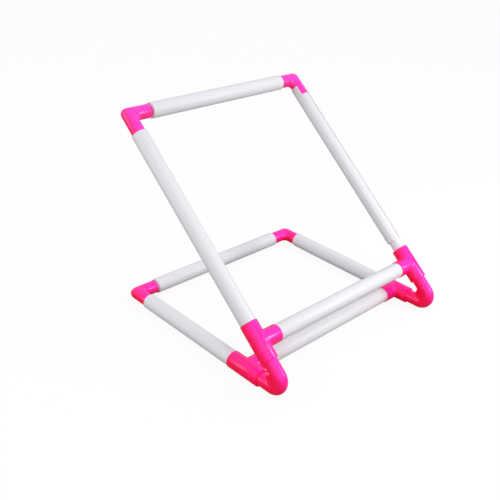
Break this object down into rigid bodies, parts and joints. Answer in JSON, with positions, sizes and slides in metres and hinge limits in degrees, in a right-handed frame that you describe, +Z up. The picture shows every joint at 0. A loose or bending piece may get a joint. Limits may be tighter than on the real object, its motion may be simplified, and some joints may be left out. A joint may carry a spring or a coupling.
{
  "type": "embroidery frame stand",
  "caption": "Knock-down embroidery stand: a rectangular tube frame with springy fabric clips leans back from a matching base on two pink V connectors.",
  "frame": {"origin": "middle of the stand's footprint, on the table", "axes": "+X to the right along the front, +Y to the back, +Z up"},
  "size_m": [0.3322, 0.3188, 0.2874],
  "materials": {
    "white_tube": "smooth extruded white plastic tube",
    "white_clip": "satin extruded white plastic clip",
    "pink_plastic": "glossy moulded pink plastic"
  },
  "bodies": {
    "base": {"base_left_tee": "pink_plastic", "base_right_tee": "pink_plastic", "base_front_tube": "white_tube", "base_left_tube": "white_tube", "base_right_tube": "white_tube"},
    "v_pair": {"left_v_connector": "pink_plastic", "right_v_connector": "pink_plastic"},
    "working_frame": {"frame_left_tee": "pink_plastic", "frame_right_tee": "pink_plastic", "bottom_tube": "white_tube", "left_tube": "white_tube", "right_tube": "white_tube"},
    "top_rail": {"top_left_elbow": "pink_plastic", "top_right_elbow": "pink_plastic", "top_tube": "white_tube"},
    "rear_rail": {"base_back_left_elbow": "pink_plastic", "base_back_right_elbow": "pink_plastic", "base_back_tube": "white_tube"},
    "top_clip": {"top_clip": "white_clip"},
    "bottom_clip": {"bottom_clip": "white_clip"},
    "left_clip": {"left_clip": "white_clip"},
    "right_clip": {"right_clip": "white_clip"},
    "base_front_clip": {"base_front_clip": "white_clip"},
    "base_back_clip": {"base_back_clip": "white_clip"},
    "base_left_clip": {"base_left_clip": "white_clip"},
    "base_right_clip": {"base_right_clip": "white_clip"}
  },
  "joints": [
    {"name": "v_pair_pull", "type": "slide", "parent": "base", "child": "v_pair", "axis": [0, -1, 0], "range_m": [0, 0.03]},
    {"name": "frame_lift", "type": "slide", "parent": "v_pair", "child": "working_frame", "axis": [0, 0.7705, 0.6374], "range_m": [0, 0.03]},
    {"name": "top_rail_pull", "type": "slide", "parent": "working_frame", "child": "top_rail", "axis": [0, 0.7705, 0.6374], "range_m": [0, 0.03]},
    {"name": "rear_rail_pull", "type": "slide", "parent": "base", "child": "rear_rail", "axis": [0, 1, 0], "range_m": [0, 0.03]},
    {"name": "top_clip_turn", "type": "hinge", "parent": "top_rail", "child": "top_clip", "pos_m": [0, 0.14858, 0.2766], "axis": [1, 0, 0], "continuous": true},
    {"name": "bottom_clip_turn", "type": "hinge", "parent": "working_frame", "child": "bottom_clip", "pos_m": [0, -0.11046, 0.0623], "axis": [1, 0, 0], "continuous": true},
    {"name": "left_clip_turn", "type": "hinge", "parent": "working_frame", "child": "left_clip", "pos_m": [-0.154, 0.01721, 0.16792], "axis": [0, 0.7705, 0.6374], "continuous": true},
    {"name": "right_clip_turn", "type": "hinge", "parent": "working_frame", "child": "right_clip", "pos_m": [0.154, 0.01721, 0.16792], "axis": [0, 0.7705, 0.6374], "continuous": true},
    {"name": "base_front_clip_turn", "type": "hinge", "parent": "base", "child": "base_front_clip", "pos_m": [0, -0.09226, 0.01175], "axis": [1, 0, 0], "continuous": true},
    {"name": "base_back_clip_turn", "type": "hinge", "parent": "rear_rail", "child": "base_back_clip", "pos_m": [0, 0.13844, 0.01175], "axis": [1, 0, 0], "continuous": true},
    {"name": "base_left_clip_turn", "type": "hinge", "parent": "base", "child": "base_left_clip", "pos_m": [-0.154, 0.01843, 0.01175], "axis": [0, 1, 0], "continuous": true},
    {"name": "base_right_clip_turn", "type": "hinge", "parent": "base", "child": "base_right_clip", "pos_m": [0.154, 0.01843, 0.01175], "axis": [0, 1, 0], "continuous": true}
  ]
}
